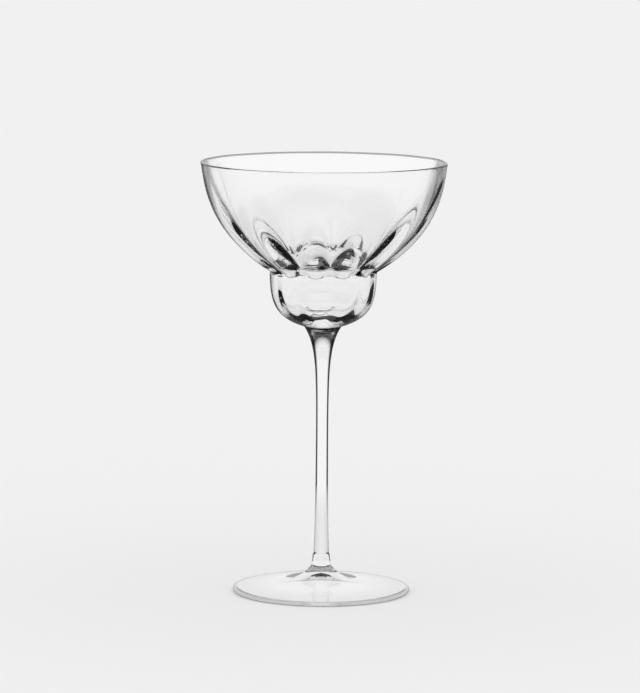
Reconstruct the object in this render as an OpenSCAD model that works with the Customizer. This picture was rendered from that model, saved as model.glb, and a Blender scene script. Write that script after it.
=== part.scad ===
// Margarita glass: a wide fluted coupe over a small well, on a slim stem and a round foot.
// Millimetres, +Z up. The origin is the centre of the ring that the foot stands on.

/* [Coupe] */
// Outside diameter of the rim, over the lobes
rim_d = 110; // [96:1:124]
// Height of the rim above the table
glass_h = 193; // [178:0.5:212]
// Lean of the wall at the rim, outwards from upright, in degrees
rim_lean = 7.5; // [3:0.5:12]
// Wall thickness at the rim
rim_wall = 1.3; // [0.9:0.1:1.8]
// Height of the coupe, from the waist to the rim
coupe_h = 49; // [42:0.5:56]
// Slope of the coupe's wall where it reaches the waist, from level, in degrees
coupe_slope = 32; // [28:1:38]
// Wall thickness of the coupe where it reaches the waist, at a ridge
coupe_wall = 6; // [5:0.1:7]
// How late the wall thickens on its way down to the waist, 1 being steadily
wall_growth = 2; // [1.5:0.1:3]
// How far the wall keeps its lean below the rim, as a share of the coupe's height
coupe_shoulder = 0.24; // [0.18:0.01:0.32]
// How far the wall keeps its slope above the waist, as a share of the coupe's overhang
coupe_belly = 1.03; // [0.9:0.01:1.1]

/* [Well] */
// Outside diameter of the waist, where the coupe meets the well
waist_d = 47.8; // [42:0.2:54]
// Radius of the fillet outside the waist
waist_fillet = 1.6; // [0.8:0.1:2.4]
// Height of the well, from the stem's joint to the waist
well_h = 24.4; // [20:0.2:29]
// Lean of the well's side, inwards from upright, in degrees
well_lean = 1; // [0:0.5:4]
// Slope of the well's underside where it reaches the stem, from level, in degrees
well_slope = 17; // [8:1:24]
// How far the well's side runs straight, as a share of its height
well_side = 0.56; // [0.45:0.01:0.62]
// How far the well's underside runs straight, as a share of its overhang
well_belly = 0.88; // [0.75:0.01:0.92]
// Wall thickness of the well's side
well_wall = 3; // [2.4:0.1:3.6]
// Thickness of the glass under the well's floor, over the stem's joint
well_floor = 5; // [4:0.1:6]
// Fullness of the well's inside corner, from a round bottom to a flat one
well_corner = 0.74; // [0.6:0.01:0.8]

/* [Flutes] */
// Number of ridges round the bowl
lobes = 12; // [8:1:14]
// Turn of the first ridge from the front, in degrees
lobe_turn = -8; // [-15:1:15]
// Depth of the outside between two ridges, at the rim
rim_flute = 0.35; // [0.2:0.05:0.6]
// Depth of the outside between two ridges, at the foot of the coupe
coupe_flute = 2.1; // [1.5:0.05:2.4]
// Depth of the outside between two ridges, at the top of the well
well_flute = 0.2; // [0.1:0.05:0.4]
// How late the outside's flutes deepen on their way down the coupe, 1 being steadily
flute_growth = 0.6; // [0.5:0.05:1]
// Height of the inside's ribs, which stand behind the ridges, at the foot of the coupe
coupe_rib = 1.6; // [1:0.1:2]
// Height of the inside's ribs at the top of the well
well_rib = 0.4; // [0.2:0.05:0.6]
// How late the inside's ribs grow on their way down the coupe, 1 being steadily
rib_growth = 2.5; // [1.5:0.1:3.5]

/* [Stem] */
// Diameter of the stem at its slimmest
stem_d = 5.3; // [4.6:0.1:6.6]
// Diameter of the joint between the bowl and the stem
bowl_joint_d = 16.8; // [14:0.2:19]
// Length over which the stem's upper flare dies away
upper_flare = 8.7; // [6:0.1:11]
// Diameter of the joint between the stem and the foot
foot_joint_d = 6.8; // [6.7:0.1:7.2]
// Length over which the stem's lower flare dies away
lower_flare = 20; // [12:1:26]

/* [Foot] */
// Diameter of the foot
foot_d = 79; // [70:1:90]
// Thickness of the foot at its rounded edge
foot_edge = 2; // [1.6:0.1:2.6]
// Rise of the foot's upper side from its edge to its middle
foot_rise = 3.4; // [2:0.1:4.4]
// Height of the joint between the stem and the foot above the table
hub_h = 16.8; // [14.5:0.1:19]
// Diameter of the hub's top, a little wider than the stem
hub_top_d = 7.5; // [7.3:0.1:7.9]
// Height of the hub's shoulder above the table
shoulder_h = 12; // [10.5:0.1:13]
// Diameter of the hub at its shoulder
shoulder_d = 8.5; // [8:0.1:9.5]
// Distance over which the hub's skirt dies away into the foot
skirt = 5; // [3.5:0.1:6.5]
// Width of the flat ring that the foot stands on
rest_w = 2; // [1.6:0.1:4]
// Depth of the cone hollowed under the foot
foot_hollow = 3.2; // [2:0.1:3.6]
// Further depth of the dome in its middle, under the hub
dome_h = 4; // [3:0.1:4.6]
// Distance over which the dome dies away into the cone
dome_r = 11; // [9:0.1:12]

/* [Hidden] */

// Steps along each stretch of the bowl's section, and round one lobe
coupe_steps = 13;
waist_steps = 3;
well_steps = 8;
lobe_steps = 8;
rim_steps = [0:45:135];
// Steps along the stem, over the foot and across its underside
stem_steps = 30;
foot_steps = 16;
hollow_steps = 14;
edge_steps = [-90:15:75];

glass = [0.86, 0.91, 0.92, 0.45];
sides = lobes * lobe_steps;
rim_r = rim_d / 2;
waist_r = waist_d / 2;
bowl_joint_r = bowl_joint_d / 2;
waist_z = glass_h - coupe_h;
bowl_joint_z = waist_z - well_h;
floor_z = bowl_joint_z + well_floor;
side_angle = 90 - well_lean;
// Centre of the rim's rounded edge
rim_middle = [rim_r - rim_wall / 2, glass_h - rim_wall / 2];

// A vector in the section's plane, r and z, at an angle above level
function along(angle) = [cos(angle), sin(angle)];

// The normal into the glass's hollow, on an outer wall that rises outwards at an angle
function inward(angle) = [-sin(angle), cos(angle)];

// A point on a curve with two handles, and the curve's angle there
function curve(a, b, c, d, t) =
    pow(1 - t, 3) * a + 3 * t * pow(1 - t, 2) * b + 3 * t * t * (1 - t) * c + pow(t, 3) * d;
function curve_angle(a, b, c, d, t) =
    let (v = pow(1 - t, 2) * (b - a) + 2 * t * (1 - t) * (c - b) + t * t * (d - c))
    atan2(-v[1], -v[0]);

function mix(a, b, t) = a + (b - a) * t;

// The waist's corner is cut back along both walls by its fillet
waist_corner = [waist_r, waist_z];
waist_cut = waist_fillet * tan((side_angle - coupe_slope) / 2);
waist_top = waist_corner + waist_cut * along(coupe_slope);
waist_low = waist_corner - waist_cut * along(side_angle);
fillet_middle = waist_top - waist_fillet * inward(coupe_slope);

// Outer and inner curves of the coupe, from the rim down to the waist
rim_out = rim_middle - rim_wall / 2 * inward(90 - rim_lean);
coupe_a = rim_out - coupe_shoulder * coupe_h * along(90 - rim_lean);
coupe_b = waist_top + coupe_belly * (rim_r - waist_r) * along(coupe_slope);

// Outer curve of the well, from the waist down to the stem's joint
joint_edge = [bowl_joint_r, bowl_joint_z];
well_a = waist_low - well_side * well_h * along(side_angle);
well_b = joint_edge + well_belly * (waist_r - bowl_joint_r) * along(well_slope);

// Inner curve of the well, from the waist down to the middle of the floor
inner_top = waist_low + well_wall * inward(side_angle);
inner_a = inner_top - well_corner * (inner_top[1] - floor_z) * along(side_angle);
inner_b = [well_corner * inner_top[0], floor_z];

// Each station of the bowl's section is its r, its z and how far it is drawn in between the ridges
function station(point, draw) = [point[0], point[1], draw];

// The inside follows the flutes near the rim, and gives way to ribs further down
function coupe_station(t, inner) =
    let (angle = curve_angle(rim_out, coupe_a, coupe_b, waist_top, t))
    let (wall = inner ? mix(rim_wall, coupe_wall, pow(t, wall_growth)) : 0)
    let (point = curve(rim_out, coupe_a, coupe_b, waist_top, t) + wall * inward(angle))
    let (flute = mix(rim_flute, coupe_flute, pow(t, flute_growth)))
    station(point, inner ? flute * (1 - t) - coupe_rib * pow(t, rib_growth) : flute);

function waist_station(t, inner) =
    let (angle = mix(coupe_slope, side_angle, t))
    let (wall = inner ? mix(coupe_wall, well_wall, t) : 0)
    let (point = fillet_middle + (waist_fillet + wall) * inward(angle))
    station(point, inner ? -mix(coupe_rib, well_rib, t) : mix(coupe_flute, well_flute, t));

function well_station(t, inner) =
    let (outer = curve(waist_low, well_a, well_b, joint_edge, t))
    let (hollow = curve(inner_top, inner_a, inner_b, [0, floor_z], t))
    station(inner ? hollow : outer, (inner ? -well_rib : well_flute) * (1 - t * t));

function rim_station(angle) = station(rim_middle + rim_wall / 2 * along(angle), rim_flute);

// One wall of the bowl, from the rim down
function wall_stations(inner) = [
    for (i = [0:coupe_steps]) coupe_station(i / coupe_steps, inner),
    for (i = [1:waist_steps]) waist_station(i / waist_steps, inner),
    for (i = [1:well_steps - 1]) well_station(i / well_steps, inner),
];

function reversed(list) = [for (i = [len(list) - 1:-1:0]) list[i]];

// The whole section, from the stem's joint up the outside, over the rim and down the inside
bowl_section = concat(
    [station(joint_edge, 0)],
    reversed(wall_stations(false)),
    [for (angle = rim_steps) rim_station(angle)],
    wall_stations(true)
);

// A ring of points round the glass, drawn in between the ridges
function bowl_ring(s) = [
    for (i = [0:sides - 1])
        let (turn = 360 * i / sides)
        let (r = s[0] - s[2] * (1 - cos(lobes * turn)) / 2)
        [r * cos(turn), r * sin(turn), s[1]]
];

// Triangles between two rings of a skin, and from a ring to the point that closes it
function band(row) = [
    for (i = [0:sides - 1])
        let (j = (i + 1) % sides)
        let (low = row * sides)
        let (high = low + sides)
        each [[low + i, high + i, high + j], [low + i, high + j, low + j]]
];
function cap(row, tip, up) = [
    for (i = [0:sides - 1])
        let (j = (i + 1) % sides)
        let (edge = [row * sides + i, row * sides + j])
        up ? [edge[1], edge[0], tip] : [edge[0], edge[1], tip]
];

// Blown bowl: coupe, waist and well in one skin of glass, fluted outside and ribbed inside
module bowl() {
    rings = len(bowl_section);
    points = concat(
        [for (s = bowl_section) each bowl_ring(s)],
        [[0, 0, bowl_joint_z], [0, 0, floor_z]]
    );
    faces = concat(
        [for (row = [0:rings - 2]) each band(row)],
        cap(0, rings * sides, false),
        cap(rings - 1, rings * sides + 1, true)
    );
    color(glass)
        rotate(lobe_turn - 90)
            polyhedron(points, faces);
}

// Radius of the stem at a height: slim in the middle, flaring to both joints
stem_r = stem_d / 2;
stem_l = bowl_joint_z - hub_h;
function stem_radius(z) =
    stem_r
    + (bowl_joint_r - stem_r) * exp((z - bowl_joint_z) / upper_flare)
    + (foot_joint_d / 2 - stem_r) * exp((hub_h - z) / lower_flare);

// Drawn stem: a solid rod, with its stations closest together in the upper flare
module stem() {
    side = [
        for (i = [0:stem_steps])
            let (z = bowl_joint_z - stem_l * pow(i / stem_steps, 2))
            [stem_radius(z), z]
    ];
    color(glass)
        rotate_extrude($fn = 96)
            polygon(concat([[0, bowl_joint_z]], side, [[0, hub_h]]));
}

// Height of the foot's upper side: a shallow cone, with a skirt that climbs to the hub
foot_r = foot_d / 2;
shoulder_r = shoulder_d / 2;
edge_middle = [foot_r - foot_edge / 2, foot_edge / 2];
function cone_height(r) = foot_edge + foot_rise * (1 - r / edge_middle[0]);
function foot_height(r) =
    cone_height(r) + (shoulder_h - cone_height(shoulder_r)) * exp((shoulder_r - r) / skirt);

// Height of the foot's underside inside its ring: a shallow cone with a dome in the middle
rest_r = edge_middle[0] - rest_w;
function dome_height(r) = dome_h * exp(-pow(r / dome_r, 2));
function hollow_height(r) = foot_hollow * (1 - r / rest_r) + dome_height(r) - dome_height(rest_r);

// Pressed foot: hub, skirt and disc, rounded at its edge and domed underneath
module foot() {
    hollow = [
        for (i = [0:hollow_steps])
            let (r = rest_r * i / hollow_steps)
            [r, hollow_height(r)]
    ];
    edge = [for (angle = edge_steps) edge_middle + foot_edge / 2 * along(angle)];
    top = [
        for (i = [0:foot_steps])
            let (r = mix(edge_middle[0], shoulder_r, 1 - pow(1 - i / foot_steps, 2)))
            [r, foot_height(r)]
    ];
    color(glass)
        rotate_extrude($fn = 128)
            polygon(concat(hollow, edge, top, [[hub_top_d / 2, hub_h], [0, hub_h]]));
}

bowl();
stem();
foot();
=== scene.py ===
# A clear stemmed margarita glass: a fluted bowl, a drawn stem and a domed foot, in a pale studio.
import math

import bmesh
import bpy
from mathutils import Matrix, Vector


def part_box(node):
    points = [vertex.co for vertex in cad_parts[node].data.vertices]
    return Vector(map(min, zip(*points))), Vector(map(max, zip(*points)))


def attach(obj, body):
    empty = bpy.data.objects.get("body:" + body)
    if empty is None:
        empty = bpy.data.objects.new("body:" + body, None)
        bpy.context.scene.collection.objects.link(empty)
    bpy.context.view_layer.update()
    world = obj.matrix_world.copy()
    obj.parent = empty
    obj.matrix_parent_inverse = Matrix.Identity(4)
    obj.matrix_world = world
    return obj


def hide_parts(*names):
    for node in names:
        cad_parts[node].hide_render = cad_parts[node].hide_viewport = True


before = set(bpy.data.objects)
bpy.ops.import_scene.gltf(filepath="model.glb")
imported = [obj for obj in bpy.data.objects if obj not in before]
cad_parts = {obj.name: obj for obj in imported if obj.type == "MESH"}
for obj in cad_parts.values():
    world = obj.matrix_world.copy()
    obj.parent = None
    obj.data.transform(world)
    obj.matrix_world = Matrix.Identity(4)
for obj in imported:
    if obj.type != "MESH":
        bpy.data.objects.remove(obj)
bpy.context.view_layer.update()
scene = bpy.context.scene

MM = 0.001


def widest(node):
    """Largest distance of a CAD node's surface from the glass's axis, in mm."""
    return max(math.hypot(v.co.x, v.co.y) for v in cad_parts[node].data.vertices) / MM


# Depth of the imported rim's facets, in mm, which a smooth rim would stand proud of
FACET = 0.03
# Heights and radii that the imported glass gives, in mm
RIM_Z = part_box("bowl")[1].z / MM
BOWL_JOINT_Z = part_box("stem")[1].z / MM
HUB_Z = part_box("foot")[1].z / MM
RIM_R = widest("bowl") - FACET
BOWL_JOINT_R = widest("stem")
FOOT_R = widest("foot")

# Coupe, in mm and degrees: the wall leans out at the rim and runs in at a slope to the waist
RIM_LEAN = 7.5
RIM_WALL = 1.3
COUPE_H = 49.0
COUPE_SLOPE = 32.0
COUPE_WALL = 6.0
# How far its curve keeps to the rim's lean, as a share of the height, and to the slope, of the width
COUPE_SHOULDER = 0.24
COUPE_BELLY = 1.03

# Well below the waist, in mm and degrees
WAIST_Z = RIM_Z - COUPE_H
WAIST_R = 23.9
WAIST_FILLET = 1.6
WELL_LEAN = 1.0
WELL_SLOPE = 17.0
WELL_WALL = 3.0
WELL_FLOOR = 5.0
# How far its curves keep to the side and to the slope outside, and to both inside, as shares of its size
WELL_SIDE = 0.56
WELL_BELLY = 0.88
WELL_CORNER = 0.74

# Flutes, in mm: the outside is drawn in between two ridges, and a rib stands inside behind each ridge
LOBES = 12
LOBE_TURN = -8.0
RIM_FLUTE = 0.35
COUPE_FLUTE = 2.1
WELL_FLUTE = 0.2
COUPE_RIB = 1.6
WELL_RIB = 0.4
# How late the wall, the flutes and the ribs grow from the rim to the waist: 1 is steady, more is later
WALL_GROWTH = 2.0
FLUTE_GROWTH = 0.6
RIB_GROWTH = 2.5

# Stem, in mm: slim in the middle, flaring to both joints
STEM_R = 2.65
UPPER_FLARE = 8.7
FOOT_JOINT_R = 3.4
LOWER_FLARE = 20.0

# Foot, in mm: a shallow cone with a skirt that climbs to the hub, domed underneath
FOOT_EDGE = 2.0
FOOT_RISE = 3.4
HUB_TOP_R = 3.75
SHOULDER_Z = 12.0
SHOULDER_R = 4.25
SKIRT = 5.0
REST_W = 2.0
HOLLOW = 3.2
DOME = 4.0
DOME_R = 11.0

# Steps round one lobe and along each stretch of a section
LOBE_STEPS = 16
COUPE_STEPS = 56
FILLET_STEPS = 12
WELL_STEPS = 36
STEM_STEPS = 80
HOLLOW_STEPS = 48
SKIRT_STEPS = 60
# Degrees between two points of the round rim and of the foot's round edge
RIM_STEP = 15
EDGE_STEP = 10

# Distances in m within which two points are one, and within which a point lies on the axis or in a joint
SAME_POINT = 1e-7
TOUCHING = 1e-6
# Rise of a face's normal above which the face is level
LEVEL = 0.999


# Section helpers: points are (r, z) in mm
def along(angle):
    """A step of 1 at an angle above level."""
    return Vector((math.cos(math.radians(angle)), math.sin(math.radians(angle))))


def inward(angle):
    """The step of 1 into the hollow, square to a wall that rises outwards at an angle."""
    return Vector((-math.sin(math.radians(angle)), math.cos(math.radians(angle))))


def mix(a, b, share):
    """The value at a share of the way from a to b."""
    return a + (b - a) * share


def curve(ends, t):
    """The point at a share t of a curve with two ends and two handles."""
    a, b, c, d = ends
    return (1 - t) ** 3 * a + 3 * t * (1 - t) ** 2 * b + 3 * t * t * (1 - t) * c + t ** 3 * d


def curve_angle(ends, t):
    """The angle above level at which the curve's wall rises outwards there."""
    a, b, c, d = ends
    way = (1 - t) ** 2 * (b - a) + 2 * t * (1 - t) * (c - b) + t * t * (d - c)
    return math.degrees(math.atan2(-way[1], -way[0]))


def shares(steps, first=0):
    """Even shares up to 1, from 0 or from a later step."""
    return [i / steps for i in range(first, steps + 1)]


# Each station of a section is its point and how far it is drawn in between the ridges
def bowl_section():
    """From the middle of the stem's joint up the outside, over the rim and down to the well's floor."""
    rim_side = 90 - RIM_LEAN
    well_side = 90 - WELL_LEAN
    floor_z = BOWL_JOINT_Z + WELL_FLOOR
    rim_middle = Vector((RIM_R - RIM_WALL / 2, RIM_Z - RIM_WALL / 2))
    rim_out = rim_middle - RIM_WALL / 2 * inward(rim_side)

    # The waist's corner is cut back along both walls by its fillet
    corner = Vector((WAIST_R, WAIST_Z))
    cut = WAIST_FILLET * math.tan(math.radians((well_side - COUPE_SLOPE) / 2))
    waist_top = corner + cut * along(COUPE_SLOPE)
    waist_low = corner - cut * along(well_side)
    fillet_middle = waist_top - WAIST_FILLET * inward(COUPE_SLOPE)
    coupe = (
        rim_out,
        rim_out - COUPE_SHOULDER * COUPE_H * along(rim_side),
        waist_top + COUPE_BELLY * (RIM_R - WAIST_R) * along(COUPE_SLOPE),
        waist_top,
    )

    well_h = WAIST_Z - BOWL_JOINT_Z
    joint_edge = Vector((BOWL_JOINT_R, BOWL_JOINT_Z))
    well_out = (
        waist_low,
        waist_low - WELL_SIDE * well_h * along(well_side),
        joint_edge + WELL_BELLY * (WAIST_R - BOWL_JOINT_R) * along(WELL_SLOPE),
        joint_edge,
    )
    inner_top = waist_low + WELL_WALL * inward(well_side)
    well_in = (
        inner_top,
        inner_top - WELL_CORNER * (inner_top[1] - floor_z) * along(well_side),
        Vector((WELL_CORNER * inner_top[0], floor_z)),
        Vector((0, floor_z)),
    )

    outer = []
    inner = []
    for t in shares(COUPE_STEPS):
        flute = mix(RIM_FLUTE, COUPE_FLUTE, t ** FLUTE_GROWTH)
        rib = COUPE_RIB * t ** RIB_GROWTH
        wall = mix(RIM_WALL, COUPE_WALL, t ** WALL_GROWTH)
        point = curve(coupe, t)
        outer.append((point, flute))
        inner.append((point + wall * inward(curve_angle(coupe, t)), flute * (1 - t) - rib))
    for t in shares(FILLET_STEPS, 1):
        wall = mix(COUPE_WALL, WELL_WALL, t)
        square = inward(mix(COUPE_SLOPE, well_side, t))
        outer.append((fillet_middle + WAIST_FILLET * square, mix(COUPE_FLUTE, WELL_FLUTE, t)))
        inner.append((fillet_middle + (WAIST_FILLET + wall) * square, -mix(COUPE_RIB, WELL_RIB, t)))
    for t in shares(WELL_STEPS, 1):
        outer.append((curve(well_out, t), WELL_FLUTE * (1 - t * t)))
        inner.append((curve(well_in, t), -WELL_RIB * (1 - t * t)))

    rim = [(rim_middle + RIM_WALL / 2 * along(angle), RIM_FLUTE) for angle in range(0, 180, RIM_STEP)]
    return [(Vector((0, BOWL_JOINT_Z)), 0)] + outer[::-1] + rim + inner


def stem_section():
    """From the middle of the bowl's joint down to the middle of the foot's, with that joint's r."""
    section = [(Vector((0, BOWL_JOINT_Z)), 0)]
    for share in shares(STEM_STEPS):
        z = BOWL_JOINT_Z - (BOWL_JOINT_Z - HUB_Z) * share ** 2
        r = STEM_R
        r += (BOWL_JOINT_R - STEM_R) * math.exp((z - BOWL_JOINT_Z) / UPPER_FLARE)
        r += (FOOT_JOINT_R - STEM_R) * math.exp((HUB_Z - z) / LOWER_FLARE)
        section.append((Vector((r, z)), 0))
    joint_r = section[-1][0][0]
    return section + [(Vector((0, HUB_Z)), 0)], joint_r


def foot_section(joint_r):
    """From the middle of the dome out to the resting ring, round the edge and up to the hub's top."""
    edge_middle = Vector((FOOT_R - FOOT_EDGE / 2, FOOT_EDGE / 2))
    rest_r = edge_middle[0] - REST_W

    def swell(r):
        return DOME * math.exp(-(r / DOME_R) ** 2)

    def cone(r):
        return FOOT_EDGE + FOOT_RISE * (1 - r / edge_middle[0])

    points = []
    for share in shares(HOLLOW_STEPS):
        r = rest_r * share
        points.append(Vector((r, HOLLOW * (1 - share) + swell(r) - swell(rest_r))))
    for angle in range(-90, 90, EDGE_STEP):
        points.append(edge_middle + FOOT_EDGE / 2 * along(angle))
    for share in shares(SKIRT_STEPS):
        r = mix(edge_middle[0], SHOULDER_R, 1 - (1 - share) ** 2)
        climb = (SHOULDER_Z - cone(SHOULDER_R)) * math.exp((SHOULDER_R - r) / SKIRT)
        points.append(Vector((r, cone(r) + climb)))
    points += [Vector((HUB_TOP_R, HUB_Z)), Vector((joint_r, HUB_Z)), Vector((0, HUB_Z))]
    return [(point, 0) for point in points]


def press_flutes(bm, draw):
    """Draws the skin in between the ridges, or pushes it out between the ribs."""
    for v in bm.verts:
        r = math.hypot(v.co.x, v.co.y)
        if v[draw] == 0 or r < TOUCHING:
            continue
        turn = math.atan2(v.co.x, -v.co.y) - math.radians(LOBE_TURN)
        v.co.xy *= 1 - v[draw] * (1 - math.cos(LOBES * turn)) / 2 / r


def spin_glass(name, section, joints, glass, fused):
    """A closed skin spun from a section, fused where its faces lie inside a joint, given by r and z."""
    bm = bmesh.new()
    draw = bm.verts.layers.float.new("draw")
    outline = []
    for point, depth in section:
        v = bm.verts.new((0, -point[0] * MM, point[1] * MM))
        v[draw] = depth * MM
        outline.append(v)
    edges = [bm.edges.new(pair) for pair in zip(outline, outline[1:])]
    bmesh.ops.spin(bm, geom=outline + edges, axis=(0, 0, 1), cent=(0, 0, 0), angle=2 * math.pi,
                   steps=LOBES * LOBE_STEPS, use_merge=True)
    bmesh.ops.remove_doubles(bm, verts=bm.verts, dist=SAME_POINT)
    bmesh.ops.recalc_face_normals(bm, faces=bm.faces)
    press_flutes(bm, draw)
    for face in bm.faces:
        middle = face.calc_center_median()
        reach = math.hypot(middle.x, middle.y)
        level = abs(face.normal.z) > LEVEL
        joined = level and any(abs(middle.z - z * MM) < TOUCHING and reach < r * MM for r, z in joints)
        face.smooth = not joined
        face.material_index = 1 if joined else 0
    for edge in bm.edges:
        edge.smooth = len({face.material_index for face in edge.link_faces}) == 1
    mesh = bpy.data.meshes.new(name)
    bm.to_mesh(mesh)
    bm.free()
    piece = bpy.data.objects.new(name, mesh)
    scene.collection.objects.link(piece)
    mesh.materials.append(glass)
    mesh.materials.append(fused)
    return piece


# Materials
WHITE = "#FFFFFF"
BLACK = "#000000"
# The background, and the paper under the glass as the glass shows it
PALE = "#F1F1F1"
GLOW = "#F9F9F9"
GLASS_IOR = 1.5


def linear(code):
    """The linear colour of an sRGB hex value."""
    parts = [int(code[i:i + 2], 16) / 255 for i in (1, 3, 5)]
    return [c / 12.92 if c <= 0.04045 else ((c + 0.055) / 1.055) ** 2.4 for c in parts] + [1]


def add(tree, kind, values=None, links=None, stops=None, **settings):
    """Adds a node with its settings, socket values, links from other sockets and a ramp's eased stops."""
    node = tree.nodes.new(kind)
    for name, value in settings.items():
        setattr(node, name, value)
    for socket, value in (values or {}).items():
        node.inputs[socket].default_value = value
    for socket, source in (links or {}).items():
        tree.links.new(source, node.inputs[socket])
    if stops:
        elements = node.color_ramp.elements
        node.color_ramp.interpolation = "EASE"
        for i, (position, code) in enumerate(stops):
            element = elements[i] if i < len(elements) else elements.new(position)
            element.position = position
            element.color = linear(code)
    return node


def clear_glass(name):
    """Fire-polished soda-lime glass: colourless and mirror-smooth, so it shows by what it bends."""
    material = bpy.data.materials.new(name)
    material.use_nodes = True
    shader = material.node_tree.nodes["Principled BSDF"]
    shader.inputs["Base Color"].default_value = linear(WHITE)
    shader.inputs["Roughness"].default_value = 0
    shader.inputs["IOR"].default_value = GLASS_IOR
    shader.inputs["Transmission Weight"].default_value = 1
    return material, shader


def from_axis(tree, place):
    """The distance from the glass's axis, in m."""
    flat = add(tree, "ShaderNodeVectorMath", {1: (1, 1, 0)}, {0: place.outputs["Object"]},
               operation="MULTIPLY")
    reach = add(tree, "ShaderNodeVectorMath", links={0: flat.outputs["Vector"]}, operation="LENGTH")
    return reach.outputs["Value"]


# Painted shades of the bowl's wall by how far it turns away, low down and near the rim, with the heights
# in mm between the two
LOW_WALL_PAINTED_SHADE = [(0.65, "#FBFBFB"), (0.95, "#595959")]
HIGH_WALL_PAINTED_SHADE = [(0.53, WHITE), (0.61, "#E4E4E4"), (0.7, "#909090"), (0.85, "#909090")]
LOW_WALL_TOP = 164.0
HIGH_WALL_FOOT = 180.0
# Lip inside the rim, in mm, and the painted shade of its line
LIP = 0.8
LIP_PAINTED_SHADE = "#7A7A7A"
# Turn from a ray inside the glass, as Layer Weight counts it, past which a face is painted black as
# painted shade: under the well and round the waist, with the heights in mm between the two
WELL_TURN = 0.25
WAIST_TURN = 0.3
WELL_TURN_TOP = 128.0
WAIST_TURN_FOOT = 140.0
# Heights in mm up to which the painted shade takes most light and from which little: above the stem's
# joint, then above the waist, where it sets in over a short height below it
DARK_WELL = 1.9
CLEAR_WELL = 3.9
DARK_WAIST = 6.0
CLEAR_WAIST = 10.0
WAIST_ONSET = 1.0
# Share of the light that the painted shade takes, by height: white is all of it
PAINTED_SHADE_BY_HEIGHT = [
    (BOWL_JOINT_Z, "#F9F9F9"),
    (BOWL_JOINT_Z + DARK_WELL, "#F9F9F9"),
    (BOWL_JOINT_Z + CLEAR_WELL, "#404040"),
    (WAIST_Z - WAIST_ONSET, "#303030"),
    (WAIST_Z, "#F3F3F3"),
    (WAIST_Z + DARK_WAIST, "#F3F3F3"),
    (WAIST_Z + CLEAR_WAIST, "#303030"),
]


def blown_glass():
    """The bowl was blown: painted grey shade where its wall is seen edge on, painted black shade where a
    face turns far from a ray inside the thick glass.
    """
    material, shader = clear_glass("blown_glass_painted_shade")
    tree = material.node_tree
    facing = add(tree, "ShaderNodeLayerWeight")
    side = add(tree, "ShaderNodeNewGeometry")
    place = add(tree, "ShaderNodeTexCoord")
    parts = add(tree, "ShaderNodeSeparateXYZ", links={"Vector": place.outputs["Object"]})

    # Painted shade on the wall's edges, softer near the rim, where it is thin
    low_painted_shade = add(tree, "ShaderNodeValToRGB", links={"Fac": facing.outputs["Facing"]}, stops=LOW_WALL_PAINTED_SHADE)
    high_painted_shade = add(tree, "ShaderNodeValToRGB", links={"Fac": facing.outputs["Facing"]}, stops=HIGH_WALL_PAINTED_SHADE)
    height = add(tree, "ShaderNodeMapRange",
                 {"From Min": LOW_WALL_TOP * MM, "From Max": HIGH_WALL_FOOT * MM},
                 {"Value": parts.outputs["Z"]}, interpolation_type="SMOOTHSTEP")
    edge = add(tree, "ShaderNodeMix", data_type="RGBA", links={
        "Factor": height.outputs["Result"], "A": low_painted_shade.outputs["Color"], "B": high_painted_shade.outputs["Color"]})

    # A thin grey line of painted shade on the lip where it is seen from the air
    inner = add(tree, "ShaderNodeMath", {1: (RIM_R - RIM_WALL / 2) * MM}, {0: from_axis(tree, place)},
                operation="LESS_THAN")
    top = add(tree, "ShaderNodeMath", {1: (RIM_Z - LIP) * MM}, {0: parts.outputs["Z"]},
              operation="GREATER_THAN")
    lip = add(tree, "ShaderNodeMath", links={0: inner.outputs[0], 1: top.outputs[0]},
              operation="MULTIPLY")
    inside = add(tree, "ShaderNodeMath", links={0: lip.outputs[0], 1: side.outputs["Backfacing"]},
                 operation="MULTIPLY")
    painted_lip_line = add(tree, "ShaderNodeMath", links={0: lip.outputs[0], 1: inside.outputs[0]},
               operation="SUBTRACT")
    with_painted_lip = add(tree, "ShaderNodeMix", {"B": linear(LIP_PAINTED_SHADE)},
                 {"Factor": painted_lip_line.outputs[0], "A": edge.outputs["Result"]}, data_type="RGBA")

    # Painted shade: where a face turns far from a ray inside the wall it is painted black and lets less
    # through, most at the waist and under the well
    least = add(tree, "ShaderNodeMapRange",
                {"From Min": WELL_TURN_TOP * MM, "From Max": WAIST_TURN_FOOT * MM,
                 "To Min": WELL_TURN, "To Max": WAIST_TURN},
                {"Value": parts.outputs["Z"]})
    turned = add(tree, "ShaderNodeMath", links={0: facing.outputs["Facing"], 1: least.outputs["Result"]},
                 operation="GREATER_THAN")
    painted_black_mask = add(tree, "ShaderNodeMath", links={0: turned.outputs[0], 1: side.outputs["Backfacing"]},
                 operation="MULTIPLY")
    rise = add(tree, "ShaderNodeMapRange", {"From Min": BOWL_JOINT_Z * MM, "From Max": RIM_Z * MM},
               {"Value": parts.outputs["Z"]})
    lost = add(tree, "ShaderNodeValToRGB", links={"Fac": rise.outputs["Result"]},
               stops=[((z - BOWL_JOINT_Z) / (RIM_Z - BOWL_JOINT_Z), shade) for z, shade in PAINTED_SHADE_BY_HEIGHT])
    painted_shade_share = add(tree, "ShaderNodeMath", links={0: painted_black_mask.outputs[0], 1: lost.outputs["Color"]},
               operation="MULTIPLY")
    clear = add(tree, "ShaderNodeMath", {0: 1.0}, {1: painted_shade_share.outputs[0]}, operation="SUBTRACT")
    shade = add(tree, "ShaderNodeMix", {"B": linear(BLACK)},
                {"Factor": painted_black_mask.outputs[0], "A": with_painted_lip.outputs["Result"]}, data_type="RGBA")
    tree.links.new(shade.outputs["Result"], shader.inputs["Base Color"])
    tree.links.new(clear.outputs[0], shader.inputs["Transmission Weight"])
    return material


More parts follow.
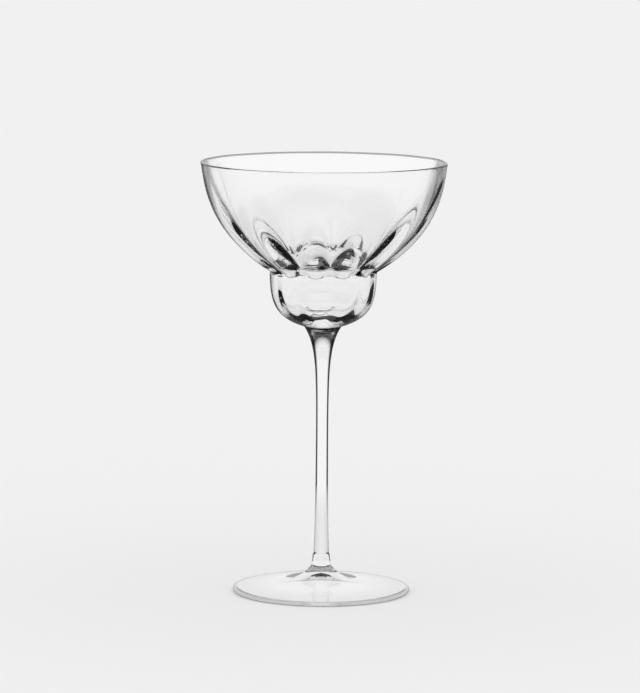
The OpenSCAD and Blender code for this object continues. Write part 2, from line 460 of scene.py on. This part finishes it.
# Painted shades across the stem by how far its side turns away: low down, along the rod and up in the
# flare
STEM_LOW_PAINTED_SHADE = [(0.0, "#F2F2F2"), (0.3, "#E2E2E2"), (0.7, "#A0A0A0")]
STEM_ROD_PAINTED_SHADE = [(0.26, WHITE), (0.4, "#080808")]
STEM_FLARE_PAINTED_SHADE = [(0.21, WHITE), (0.34, "#080808")]
# Heights in mm over which each gives way to the next
LOW_TO_ROD = (34.0, 48.0)
ROD_TO_FLARE = (92.0, 112.0)
# How far up the rod's faces are tilted for the painted shade, so that it looks alike from low and from
# high
TILT = 0.5


def drawn_glass():
    """The stem was drawn as a rod that bends light strongly: its sides are painted black shade, but for
    its foot.
    """
    material, shader = clear_glass("drawn_glass_painted_shade")
    tree = material.node_tree
    side = add(tree, "ShaderNodeNewGeometry")
    tilted = add(tree, "ShaderNodeVectorMath", {1: (0, 0, TILT)}, {0: side.outputs["Normal"]},
                 operation="ADD")
    upward = add(tree, "ShaderNodeVectorMath", links={0: tilted.outputs["Vector"]}, operation="NORMALIZE")
    facing = add(tree, "ShaderNodeLayerWeight", links={"Normal": upward.outputs["Vector"]})
    place = add(tree, "ShaderNodeTexCoord")
    parts = add(tree, "ShaderNodeSeparateXYZ", links={"Vector": place.outputs["Object"]})
    low_painted_shade = add(tree, "ShaderNodeValToRGB", links={"Fac": facing.outputs["Facing"]}, stops=STEM_LOW_PAINTED_SHADE)
    shade = low_painted_shade.outputs["Color"]
    for sides, (start, end) in ((STEM_ROD_PAINTED_SHADE, LOW_TO_ROD), (STEM_FLARE_PAINTED_SHADE, ROD_TO_FLARE)):
        above = add(tree, "ShaderNodeMapRange", {"From Min": start * MM, "From Max": end * MM},
                    {"Value": parts.outputs["Z"]})
        upper = add(tree, "ShaderNodeValToRGB", links={"Fac": facing.outputs["Facing"]}, stops=sides)
        blend = add(tree, "ShaderNodeMix", data_type="RGBA", links={
            "Factor": above.outputs["Result"], "A": shade, "B": upper.outputs["Color"]})
        shade = blend.outputs["Result"]
    tree.links.new(shade, shader.inputs["Base Color"])
    return material


# A lower index keeps the dark arch over the foot's dome small
FOOT_IOR = 1.3
# Painted shade of the foot near its middle and at its edge, with the radii in mm between the two
MIDDLE_PAINTED_SHADE = "#F7F7F7"
OUTER_PAINTED_SHADE = "#E7E7E7"
PAINTED_SHADE_FROM = 18.0
PAINTED_SHADE_TO = FOOT_R - FOOT_EDGE
# Band of painted grey shade along the edge, in mm in from it, over which the glass turns from clear to
# grey
BAND_IN = 1.6
BAND_OUT = 0.6
EDGE_CLEAR = 0.3


def pressed_glass():
    """The foot was pressed and spun flat: nearly white over a pale table, with a soft grey edge of
    painted shade.
    """
    material, shader = clear_glass("pressed_glass_painted_shade")
    tree = material.node_tree
    shader.inputs["IOR"].default_value = FOOT_IOR
    reach = from_axis(tree, add(tree, "ShaderNodeTexCoord"))
    outward = add(tree, "ShaderNodeMapRange", {"From Min": PAINTED_SHADE_FROM * MM, "From Max": PAINTED_SHADE_TO * MM},
                  {"Value": reach}, interpolation_type="SMOOTHSTEP")
    painted_tint = add(tree, "ShaderNodeMix", {"A": linear(MIDDLE_PAINTED_SHADE), "B": linear(OUTER_PAINTED_SHADE)},
               {"Factor": outward.outputs["Result"]}, data_type="RGBA")
    clear = add(tree, "ShaderNodeMapRange",
                {"From Min": (FOOT_R - BAND_IN) * MM, "From Max": (FOOT_R - BAND_OUT) * MM,
                 "To Min": 1.0, "To Max": EDGE_CLEAR},
                {"Value": reach})
    tree.links.new(painted_tint.outputs["Result"], shader.inputs["Base Color"])
    tree.links.new(clear.outputs["Result"], shader.inputs["Transmission Weight"])
    return material


def fused_glass():
    """Where two pieces were stuck together hot the glass runs through, so a joint's faces don't show."""
    material, shader = clear_glass("fused_glass")
    shader.inputs["Alpha"].default_value = 0
    return material


# Camera, fitted to the photograph's frame of 640 by 693 pixels, in mm and degrees
PHOTO_W = 640
FOCAL_PIXELS = 4371.7
SENSOR = 36.0
CAMERA_DISTANCE = 1932.6
CAMERA_HEIGHT = 361.9
AIM = Vector((-1.2, 0, 110.4))
CAMERA_ROLL = 0.4


def make_camera():
    """Looks at the glass from a little above, as the photograph does."""
    data = bpy.data.cameras.new("camera")
    data.sensor_fit = "HORIZONTAL"
    data.sensor_width = SENSOR
    data.lens = FOCAL_PIXELS * SENSOR / PHOTO_W
    camera = bpy.data.objects.new("camera", data)
    scene.collection.objects.link(camera)
    place = Vector((0, -CAMERA_DISTANCE, CAMERA_HEIGHT))
    turn = (AIM - place).to_track_quat("-Z", "Y").to_matrix()
    roll = Matrix.Rotation(math.radians(CAMERA_ROLL), 3, "Z")
    camera.matrix_world = Matrix.Translation(place * MM) @ (turn @ roll).to_4x4()
    scene.camera = camera


# Studio, in m: pale all round, dark higher up and a soft light overhead, the same from every side
FLOOR_HALF = 20.0
FLOOR_DROP = 0.1 * MM
# Share of the floor that the glass's outer faces mirror, as if it stood on a dark-fronted table
FLOOR_MIRRORED = 0.15
# Shade of the studio by height above level, as a share of a right angle
STUDIO = [
    (0.0, "#F3F3F3"),
    (0.36, "#F3F3F3"),
    (0.42, "#383838"),
    (0.6, "#383838"),
    (0.8, WHITE),
    (1.0, WHITE),
]


def by_glass(tree, path):
    """1 for a ray that glass mirrored or let through, and 0 for any other."""
    either = add(tree, "ShaderNodeMath", operation="MAXIMUM", links={
        0: path.outputs["Is Glossy Ray"], 1: path.outputs["Is Transmission Ray"]})
    return either.outputs[0]


def make_world():
    """White light on everything, a pale background for the camera, the studio's shades in the glass."""
    world = bpy.data.worlds.new("studio")
    scene.world = world
    world.use_nodes = True
    tree = world.node_tree
    background = tree.nodes["Background"]
    place = add(tree, "ShaderNodeTexCoord")
    parts = add(tree, "ShaderNodeSeparateXYZ", links={"Vector": place.outputs["Generated"]})
    rise = add(tree, "ShaderNodeMath", links={0: parts.outputs["Z"]}, operation="ARCSINE")
    share = add(tree, "ShaderNodeMath", {1: math.pi / 2}, {0: rise.outputs[0]}, operation="DIVIDE")
    shades = add(tree, "ShaderNodeValToRGB", links={"Fac": share.outputs[0]}, stops=STUDIO)
    path = add(tree, "ShaderNodeLightPath")
    lit = add(tree, "ShaderNodeMix", {"A": linear(WHITE)},
              {"Factor": by_glass(tree, path), "B": shades.outputs["Color"]}, data_type="RGBA")
    seen = add(tree, "ShaderNodeMix", {"B": linear(PALE)},
               {"Factor": path.outputs["Is Camera Ray"], "A": lit.outputs["Result"]}, data_type="RGBA")
    tree.links.new(seen.outputs["Result"], background.inputs["Color"])


def matt_paper():
    """Pale matt paper that keeps the shadow, and glows evenly for rays that come through the glass."""
    material = bpy.data.materials.new("matt_paper")
    material.use_nodes = True
    tree = material.node_tree
    shader = tree.nodes["Principled BSDF"]
    shader.inputs["Base Color"].default_value = linear(PALE)
    shader.inputs["Roughness"].default_value = 1
    shader.inputs["Specular IOR Level"].default_value = 0
    path = add(tree, "ShaderNodeLightPath")
    dim = add(tree, "ShaderNodeMapRange", {"To Min": 1.0, "To Max": FLOOR_MIRRORED},
              {"Value": path.outputs["Is Reflection Ray"]})
    glow = add(tree, "ShaderNodeEmission", {"Color": linear(GLOW)}, {"Strength": dim.outputs["Result"]})
    paper = add(tree, "ShaderNodeMixShader", links={
        0: by_glass(tree, path), 1: shader.outputs["BSDF"], 2: glow.outputs["Emission"]})
    tree.links.new(paper.outputs["Shader"], tree.nodes["Material Output"].inputs["Surface"])
    return material


def make_floor():
    """A wide sheet of paper just below the foot."""
    bm = bmesh.new()
    bmesh.ops.create_grid(bm, x_segments=1, y_segments=1, size=FLOOR_HALF)
    bmesh.ops.translate(bm, verts=bm.verts, vec=(0, 0, -FLOOR_DROP))
    mesh = bpy.data.meshes.new("floor")
    bm.to_mesh(mesh)
    bm.free()
    mesh.materials.append(matt_paper())
    floor = bpy.data.objects.new("floor", mesh)
    scene.collection.objects.link(floor)


def light_paths():
    """Room for light to pass many walls; past eight reflections it is lost, as in thick glass."""
    scene.cycles.max_bounces = 24
    scene.cycles.transmission_bounces = 24
    scene.cycles.transparent_max_bounces = 16
    scene.cycles.glossy_bounces = 8


def make_glass():
    """The three pieces, each in place of its plain solid."""
    fused = fused_glass()
    stem_outline, foot_joint_r = stem_section()
    foot_outline = foot_section(foot_joint_r)
    bowl_joint = (BOWL_JOINT_R, BOWL_JOINT_Z)
    foot_joint = (foot_joint_r, HUB_Z)
    pieces = {
        "bowl": spin_glass("blown_bowl", bowl_section(), [bowl_joint], blown_glass(), fused),
        "stem": spin_glass("drawn_stem", stem_outline, [bowl_joint, foot_joint], drawn_glass(), fused),
        "foot": spin_glass("pressed_foot", foot_outline, [foot_joint], pressed_glass(), fused),
    }
    for node, piece in pieces.items():
        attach(piece, "root")
        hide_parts(node)


make_camera()
make_world()
make_floor()
light_paths()
make_glass()
scene.view_settings.view_transform = "Standard"
